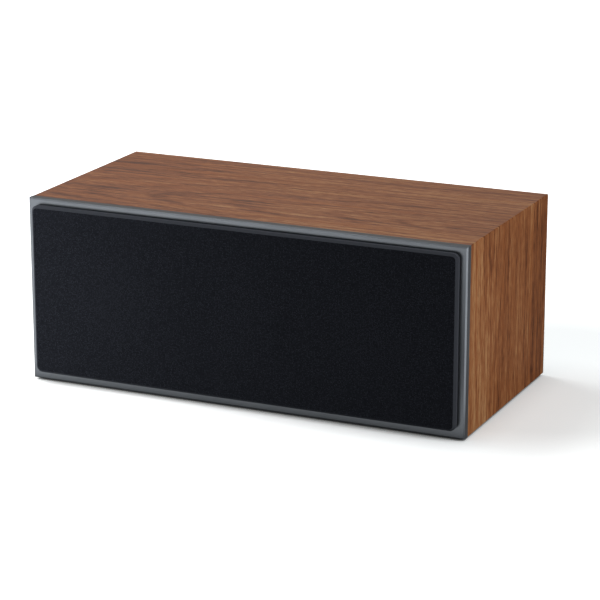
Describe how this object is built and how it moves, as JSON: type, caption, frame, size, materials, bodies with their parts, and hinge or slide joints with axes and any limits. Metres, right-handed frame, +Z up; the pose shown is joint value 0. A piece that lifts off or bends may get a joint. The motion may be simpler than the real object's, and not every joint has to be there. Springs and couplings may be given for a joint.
{
  "type": "centre channel speaker",
  "caption": "Centre channel loudspeaker with a pull-off black cloth grille on a chamfered grey baffle, a walnut-grain cabinet, woofers beside a dome tweeter and rear binding posts.",
  "frame": {"origin": "on the floor under the middle of the overall box", "axes": "+X runs along the width, to the right seen from the front; +Y runs from the grille to the back; +Z is up"},
  "size_m": [0.515, 0.2588, 0.21],
  "materials": {
    "walnut_foil": "dark walnut grain foil, satin",
    "grey_lacquer": "warm grey satin lacquer",
    "black_foil_board": "fine grained black foil",
    "bare_fibreboard": "raw board",
    "wadding": "lofted polyester",
    "foot_rubber": "matte",
    "port_plastic": "moulded, fine texture",
    "cast_frame": "black powder coat",
    "gasket_foam": "closed-cell foam",
    "trim_aluminium": "satin anodised",
    "suspension_rubber": "matte",
    "fibre_cone": "grey pressed fibre",
    "coil_former": "lacquered winding",
    "spider_cloth": "resin-dipped",
    "plated_steel": "zinc plated",
    "ferrite": "sintered, matte",
    "black_screw_steel": "black oxide",
    "tag_strip": "tinned",
    "faceplate_plastic": "moulded, satin",
    "dome_metal": "formed foil",
    "frame_plastic": "moulded",
    "grille_fabric": "tight black knit",
    "gilt_brass": "gold plated",
    "red_knob": "moulded",
    "black_knob": "moulded",
    "circuit_board": "laminate",
    "copper_wire": "enamelled winding",
    "capacitor_wrap": "film wrap",
    "resistor_ceramic": "cement body",
    "wire_sleeve": "insulated lead"
  },
  "bodies": {
    "cabinet": {"back_panel": "black_foil_board", "baffle_catch_plates": "plated_steel", "brace_left": "bare_fibreboard", "brace_right": "bare_fibreboard", "cabinet_sleeve": "walnut_foil", "crossover_board": "circuit_board", "crossover_capacitors": "capacitor_wrap", "crossover_coils": "copper_wire", "crossover_resistors": "resistor_ceramic", "damping_pad_left": "wadding", "damping_pad_right": "wadding", "front_baffle": "grey_lacquer", "internal_wires": "wire_sleeve", "port_tube_left": "port_plastic", "port_tube_right": "port_plastic", "post_negative_stud": "gilt_brass", "post_nuts": "gilt_brass", "post_positive_stud": "gilt_brass", "rubber_feet": "foot_rubber", "terminal_cup": "port_plastic", "terminal_screws": "black_screw_steel", "tweeter_faceplate": "faceplate_plastic", "tweeter_magnet": "ferrite", "tweeter_rear_cap": "port_plastic", "tweeter_screws": "black_screw_steel", "tweeter_surround": "gasket_foam", "tweeter_top_plate": "plated_steel", "tweeter_yoke": "plated_steel", "woofer_left_basket": "cast_frame", "woofer_left_gasket": "gasket_foam", "woofer_left_magnet": "ferrite", "woofer_left_spider": "spider_cloth", "woofer_left_surround": "suspension_rubber", "woofer_left_top_plate": "plated_steel", "woofer_left_trim_ring": "trim_aluminium", "woofer_left_yoke": "plated_steel", "woofer_right_basket": "cast_frame", "woofer_right_gasket": "gasket_foam", "woofer_right_magnet": "ferrite", "woofer_right_spider": "spider_cloth", "woofer_right_surround": "suspension_rubber", "woofer_right_top_plate": "plated_steel", "woofer_right_trim_ring": "trim_aluminium", "woofer_right_yoke": "plated_steel", "woofer_screws": "black_screw_steel", "woofer_terminals": "tag_strip"},
    "grille": {"grille_frame": "frame_plastic", "grille_cloth": "grille_fabric", "grille_magnets": "plated_steel"},
    "left_woofer_cone": {"woofer_left_cone": "fibre_cone", "woofer_left_dust_cap": "fibre_cone", "woofer_left_voice_coil": "coil_former"},
    "right_woofer_cone": {"woofer_right_cone": "fibre_cone", "woofer_right_dust_cap": "fibre_cone", "woofer_right_voice_coil": "coil_former"},
    "tweeter_dome": {"tweeter_diaphragm": "dome_metal"},
    "positive_clamp": {"post_positive_washer": "gilt_brass"},
    "positive_knob": {"post_positive_knob": "red_knob"},
    "negative_clamp": {"post_negative_washer": "gilt_brass"},
    "negative_knob": {"post_negative_knob": "black_knob"}
  },
  "joints": [
    {"name": "grille_pull", "type": "slide", "parent": "cabinet", "child": "grille", "axis": [0, -1, 0], "range_m": [0, 0.08]},
    {"name": "left_cone_travel", "type": "slide", "parent": "cabinet", "child": "left_woofer_cone", "axis": [0, -1, 0], "range_m": [-0.005, 0.005], "stiffness_N_per_m": 1200, "deforming": ["woofer_left_surround", "woofer_left_spider"]},
    {"name": "right_cone_travel", "type": "slide", "parent": "cabinet", "child": "right_woofer_cone", "axis": [0, -1, 0], "range_m": [-0.005, 0.005], "stiffness_N_per_m": 1200, "deforming": ["woofer_right_surround", "woofer_right_spider"]},
    {"name": "dome_travel", "type": "slide", "parent": "cabinet", "child": "tweeter_dome", "axis": [0, -1, 0], "range_m": [-0.0003, 0.0003], "stiffness_N_per_m": 60, "deforming": ["tweeter_surround"]},
    {"name": "positive_clamp_travel", "type": "slide", "parent": "cabinet", "child": "positive_clamp", "axis": [0, 1, 0], "range_m": [0, 0.004]},
    {"name": "positive_knob_turn", "type": "hinge", "parent": "positive_clamp", "child": "positive_knob", "pos_m": [-0.016, 0.1144, 0.10625], "axis": [0, 1, 0], "range_deg": [0, 1440]},
    {"name": "negative_clamp_travel", "type": "slide", "parent": "cabinet", "child": "negative_clamp", "axis": [0, 1, 0], "range_m": [0, 0.004]},
    {"name": "negative_knob_turn", "type": "hinge", "parent": "negative_clamp", "child": "negative_knob", "pos_m": [0.016, 0.1144, 0.10625], "axis": [0, 1, 0], "range_deg": [0, 1440]}
  ],
  "couplings": [
    {"joint": "positive_knob_turn", "follows": "positive_clamp_travel", "rad_per_m": 6283.2},
    {"joint": "negative_knob_turn", "follows": "negative_clamp_travel", "rad_per_m": 6283.2}
  ]
}
